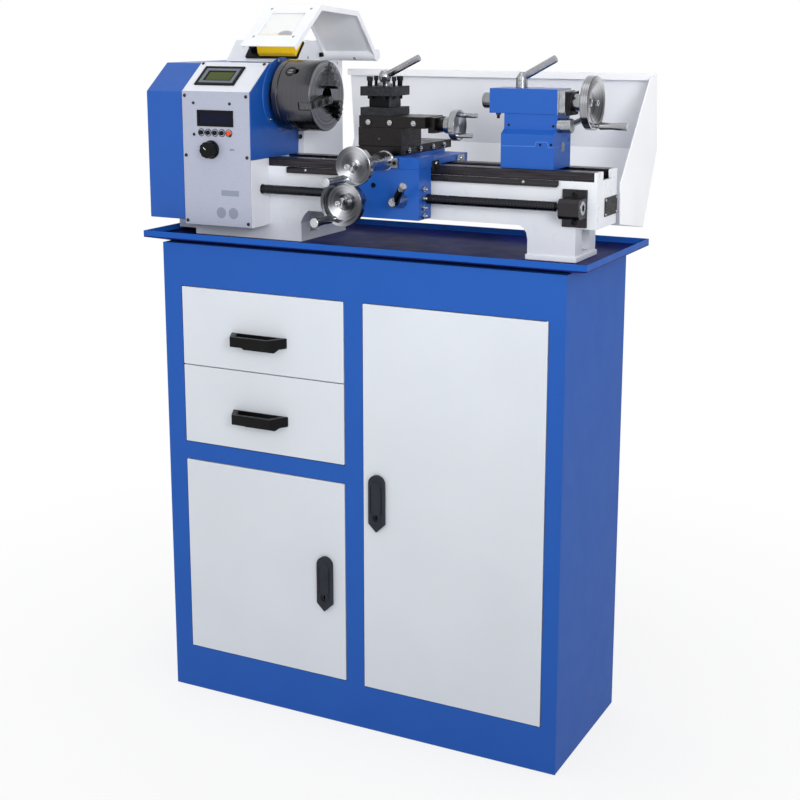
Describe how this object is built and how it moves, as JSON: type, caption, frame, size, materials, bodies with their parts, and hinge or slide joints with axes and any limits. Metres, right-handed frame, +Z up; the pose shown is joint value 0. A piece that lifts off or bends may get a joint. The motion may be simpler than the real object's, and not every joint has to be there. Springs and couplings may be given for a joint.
{
  "type": "bench metal lathe on cabinet stand",
  "caption": "Bench metal lathe with chuck, carriage, tailstock and raised guard, on a chip tray and a steel cabinet with drawers and doors.",
  "frame": {"origin": "middle of the cabinet's underside, on the floor", "axes": "+X along the bed from headstock to tailstock, +Y from front to back, +Z up"},
  "size_m": [0.881, 0.5371, 1.2835],
  "materials": {
    "belt_rubber": "matte",
    "black_plastic": "satin",
    "blackened_steel": "satin",
    "blue_paint": "gloss",
    "clear_sheet": "clear",
    "dark_iron": "satin",
    "ground_steel": "satin",
    "latch_grey": "satin",
    "light_grey_powder": "satin",
    "orange_plastic": "gloss",
    "polished_steel": "polished",
    "silver_panel": "satin",
    "white_paint": "satin",
    "yellow_plastic": "gloss"
  },
  "bodies": {
    "stand": {"cabinet_shell": "blue_paint", "cabinet_front_frame": "blue_paint", "cabinet_divider": "blue_paint", "chip_tray": "blue_paint", "bed_casting": "white_paint", "feed_rack": "ground_steel", "leadscrew_bracket": "dark_iron", "headstock_casting": "white_paint", "headstock_cover": "blue_paint", "gear_cover": "blue_paint", "control_panel": "silver_panel", "electrics_box": "white_paint", "switch_base": "black_plastic", "splashback": "white_paint", "motor": "dark_iron", "drive_belt": "belt_rubber"},
    "upper_drawer": {"upper_drawer": "light_grey_powder", "upper_drawer_pull": "black_plastic"},
    "lower_drawer": {"lower_drawer": "light_grey_powder", "lower_drawer_pull": "black_plastic"},
    "left_door": {"door_left": "light_grey_powder", "latch_plate_left": "latch_grey"},
    "right_door": {"door_right": "light_grey_powder", "latch_plate_right": "latch_grey"},
    "left_latch": {"latch_cam_left": "ground_steel"},
    "right_latch": {"latch_cam_right": "ground_steel"},
    "speed_knob": {"speed_knob": "black_plastic"},
    "spindle": {"spindle": "ground_steel", "chuck_body": "ground_steel"},
    "jaw_1": {"chuck_jaw_1": "ground_steel"},
    "jaw_2": {"chuck_jaw_2": "ground_steel"},
    "jaw_3": {"chuck_jaw_3": "ground_steel"},
    "motor_pulley": {"motor_pulley": "ground_steel"},
    "leadscrew": {"leadscrew": "ground_steel"},
    "carriage": {"saddle": "blue_paint", "apron": "blue_paint", "cross_feed_bracket": "ground_steel"},
    "carriage_wheel": {"carriage_handwheel": "polished_steel"},
    "half_nut": {"half_nut_lever": "ground_steel"},
    "cross_slide": {"cross_slide": "dark_iron"},
    "cross_wheel": {"cross_handwheel": "polished_steel"},
    "compound": {"compound_base": "dark_iron"},
    "top_slide": {"top_slide": "dark_iron"},
    "compound_wheel": {"compound_handwheel": "polished_steel"},
    "tool_post": {"tool_post": "blackened_steel"},
    "tool_clamp": {"tool_clamp_lever": "polished_steel"},
    "tailstock": {"tailstock_body": "blue_paint"},
    "quill": {"tailstock_quill": "polished_steel"},
    "tail_wheel": {"tailstock_handwheel": "polished_steel"},
    "quill_lock": {"quill_lock_lever": "polished_steel"},
    "tail_clamp": {"tailstock_clamp_lever": "ground_steel"},
    "guard": {"chuck_guard": "white_paint", "guard_window": "clear_sheet"},
    "stop_cover": {"stop_switch_cover": "yellow_plastic"},
    "selector": {"selector_knob": "black_plastic"},
    "button_1": {"panel_button_1": "black_plastic"},
    "button_2": {"panel_button_2": "black_plastic"},
    "button_3": {"panel_button_3": "black_plastic"},
    "button_4": {"panel_button_4": "black_plastic"},
    "button_5": {"panel_button_5": "orange_plastic"}
  },
  "joints": [
    {"name": "upper_drawer_slide", "type": "slide", "parent": "stand", "child": "upper_drawer", "axis": [0, -1, 0], "range_m": [0, 0.22]},
    {"name": "lower_drawer_slide", "type": "slide", "parent": "stand", "child": "lower_drawer", "axis": [0, -1, 0], "range_m": [0, 0.22]},
    {"name": "left_door_hinge", "type": "hinge", "parent": "stand", "child": "left_door", "pos_m": [-0.3489, -0.1482, 0.2715], "axis": [0, 0, -1], "range_deg": [0, 110]},
    {"name": "right_door_hinge", "type": "hinge", "parent": "stand", "child": "right_door", "pos_m": [0.359, -0.1482, 0.43405], "axis": [0, 0, 1], "range_deg": [0, 110]},
    {"name": "left_latch_turn", "type": "hinge", "parent": "left_door", "child": "left_latch", "pos_m": [-0.0545, -0.1505, 0.24], "axis": [0, -1, 0], "range_deg": [0, 90]},
    {"name": "right_latch_turn", "type": "hinge", "parent": "right_door", "child": "right_latch", "pos_m": [0.0515, -0.1505, 0.408], "axis": [0, 1, 0], "range_deg": [0, 90]},
    {"name": "speed_knob_turn", "type": "hinge", "parent": "stand", "child": "speed_knob", "pos_m": [-0.3045, -0.1108, 1.031], "axis": [0, 1, 0], "range_deg": [-135, 135]},
    {"name": "button_1_press", "type": "slide", "parent": "stand", "child": "button_1", "axis": [0, 1, 0], "range_m": [0, 0.002], "stiffness_N_per_m": 300},
    {"name": "button_2_press", "type": "slide", "parent": "stand", "child": "button_2", "axis": [0, 1, 0], "range_m": [0, 0.002], "stiffness_N_per_m": 300},
    {"name": "button_3_press", "type": "slide", "parent": "stand", "child": "button_3", "axis": [0, 1, 0], "range_m": [0, 0.002], "stiffness_N_per_m": 300},
    {"name": "button_4_press", "type": "slide", "parent": "stand", "child": "button_4", "axis": [0, 1, 0], "range_m": [0, 0.002], "stiffness_N_per_m": 300},
    {"name": "button_5_press", "type": "slide", "parent": "stand", "child": "button_5", "axis": [0, 1, 0], "range_m": [0, 0.002], "stiffness_N_per_m": 300},
    {"name": "spindle_turn", "type": "hinge", "parent": "stand", "child": "spindle", "pos_m": [-0.209, 0, 1.125], "axis": [1, 0, 0], "continuous": true},
    {"name": "jaw_1_slide", "type": "slide", "parent": "spindle", "child": "jaw_1", "axis": [0, -0.9659, -0.2588], "range_m": [-0.003, 0.012]},
    {"name": "jaw_2_slide", "type": "slide", "parent": "spindle", "child": "jaw_2", "axis": [0, 0.2588, 0.9659], "range_m": [-0.003, 0.012]},
    {"name": "jaw_3_slide", "type": "slide", "parent": "spindle", "child": "jaw_3", "axis": [0, 0.7071, -0.7071], "range_m": [-0.003, 0.012]},
    {"name": "motor_pulley_turn", "type": "hinge", "parent": "stand", "child": "motor_pulley", "pos_m": [-0.345, 0.13, 1.06], "axis": [1, 0, 0], "continuous": true},
    {"name": "leadscrew_turn", "type": "hinge", "parent": "stand", "child": "leadscrew", "pos_m": [-0.409, -0.072, 0.9605], "axis": [1, 0, 0], "continuous": true},
    {"name": "carriage_slide", "type": "slide", "parent": "stand", "child": "carriage", "axis": [1, 0, 0], "range_m": [-0.05, 0.035]},
    {"name": "carriage_wheel_turn", "type": "hinge", "parent": "carriage", "child": "carriage_wheel", "pos_m": [-0.004, -0.17, 0.958], "axis": [0, 1, 0], "continuous": true},
    {"name": "half_nut_turn", "type": "hinge", "parent": "carriage", "child": "half_nut", "pos_m": [0.074, -0.107, 0.9595], "axis": [0, 1, 0], "range_deg": [0, 60]},
    {"name": "cross_slide_travel", "type": "slide", "parent": "carriage", "child": "cross_slide", "axis": [0, 1, 0], "range_m": [-0.02, 0.03]},
    {"name": "cross_wheel_turn", "type": "hinge", "parent": "carriage", "child": "cross_wheel", "pos_m": [0.045, -0.222, 1.026], "axis": [0, 1, 0], "range_deg": [-3610, 5410]},
    {"name": "compound_swivel", "type": "hinge", "parent": "cross_slide", "child": "compound", "pos_m": [0.023, -0.047, 1.0473], "axis": [0, 0, 1], "range_deg": [-40, 40]},
    {"name": "top_slide_travel", "type": "slide", "parent": "compound", "child": "top_slide", "axis": [-1, 0, 0], "range_m": [-0.018, 0.018]},
    {"name": "compound_wheel_turn", "type": "hinge", "parent": "top_slide", "child": "compound_wheel", "pos_m": [0.131, -0.05, 1.0848], "axis": [-1, 0, 0], "range_deg": [-4330, 4330]},
    {"name": "tool_post_turn", "type": "hinge", "parent": "top_slide", "child": "tool_post", "pos_m": [0.015, -0.05, 1.099], "axis": [0, 0, 1], "range_deg": [-180, 180]},
    {"name": "tool_clamp_turn", "type": "hinge", "parent": "top_slide", "child": "tool_clamp", "pos_m": [0.015, -0.05, 1.099], "axis": [0, 0, 1], "range_deg": [-30, 60]},
    {"name": "tailstock_slide", "type": "slide", "parent": "stand", "child": "tailstock", "axis": [1, 0, 0], "range_m": [-0.02, 0.064]},
    {"name": "quill_travel", "type": "slide", "parent": "tailstock", "child": "quill", "axis": [-1, 0, 0], "range_m": [-0.018, 0.05]},
    {"name": "tail_wheel_turn", "type": "hinge", "parent": "tailstock", "child": "tail_wheel", "pos_m": [0.341, 0, 1.125], "axis": [-1, 0, 0], "range_deg": [-3240, 9000]},
    {"name": "quill_lock_turn", "type": "hinge", "parent": "tailstock", "child": "quill_lock", "pos_m": [0.247, 0, 1.147], "axis": [0, 0, 1], "range_deg": [-40, 40]},
    {"name": "tail_clamp_turn", "type": "hinge", "parent": "tailstock", "child": "tail_clamp", "pos_m": [0.3225, -0.021, 1.088], "axis": [-1, 0, 0], "range_deg": [0, 30]},
    {"name": "guard_hinge", "type": "hinge", "parent": "stand", "child": "guard", "pos_m": [-0.149, 0.13, 1.195], "axis": [1, 0, 0], "range_deg": [0, 30]},
    {"name": "stop_cover_hinge", "type": "hinge", "parent": "stand", "child": "stop_cover", "pos_m": [-0.253, 0.06096, 1.22101], "axis": [-1, 0, 0], "range_deg": [0, 100]},
    {"name": "selector_turn", "type": "hinge", "parent": "stand", "child": "selector", "pos_m": [-0.309, 0.04823, 1.20623], "axis": [0, -0.7442, 0.6679], "range_deg": [-45, 45]}
  ],
  "couplings": [
    {"joint": "motor_pulley_turn", "follows": "spindle_turn", "ratio": 1.7647},
    {"joint": "jaw_2_slide", "follows": "jaw_1_slide", "ratio": 1},
    {"joint": "jaw_3_slide", "follows": "jaw_1_slide", "ratio": 1},
    {"joint": "carriage_wheel_turn", "follows": "carriage_slide", "rad_per_m": 314.16},
    {"joint": "cross_wheel_turn", "follows": "cross_slide_travel", "rad_per_m": 3141.6},
    {"joint": "compound_wheel_turn", "follows": "top_slide_travel", "rad_per_m": 4188.8},
    {"joint": "quill_travel", "follows": "tail_wheel_turn", "m_per_rad": 0.00031831}
  ]
}
